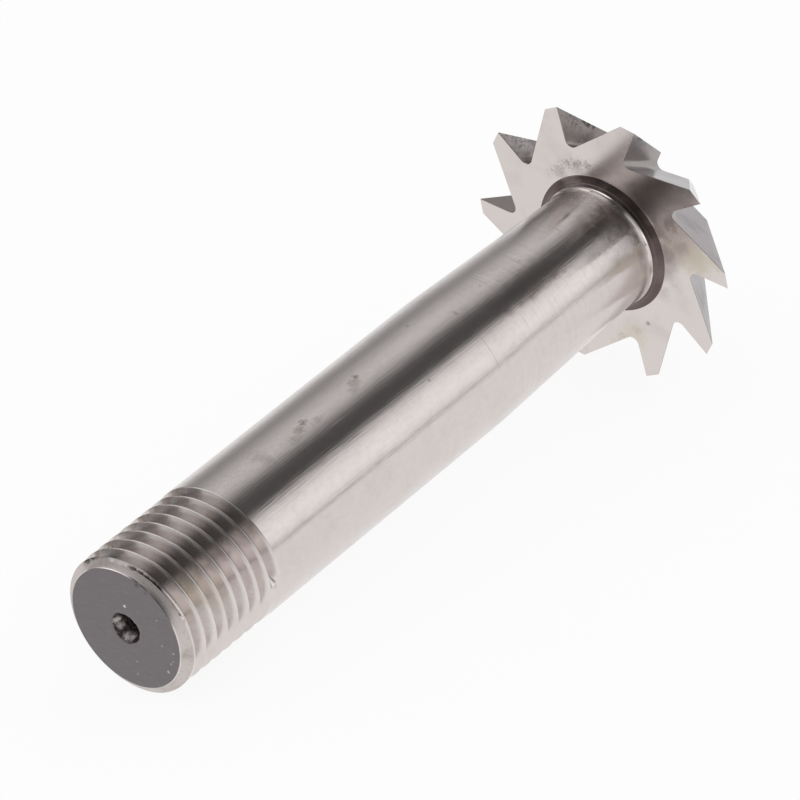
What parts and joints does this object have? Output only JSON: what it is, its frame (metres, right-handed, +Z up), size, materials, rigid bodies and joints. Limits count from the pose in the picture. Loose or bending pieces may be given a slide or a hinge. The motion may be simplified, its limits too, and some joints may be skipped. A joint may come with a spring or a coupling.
{
  "type": "dovetail milling cutter",
  "caption": "One-piece dovetail milling cutter: a straight shank with a threaded end, a slightly tapered neck and a toothed conical head, widest next to the neck, that tapers to its nose.",
  "frame": {"origin": "centre of the underside of the box around the cutter as it lies at rest, on the table", "axes": "+X is the level direction from the threaded end towards the toothed head; the cutter's axis rises 5.745 degrees from it towards the head, in the XZ plane; +Z is up"},
  "size_m": [0.0678, 0.025, 0.0239],
  "materials": {
    "tool_steel": "turned and ground, satin"
  },
  "bodies": {
    "root": {"dovetail_cutter": "tool_steel"}
  },
  "joints": []
}
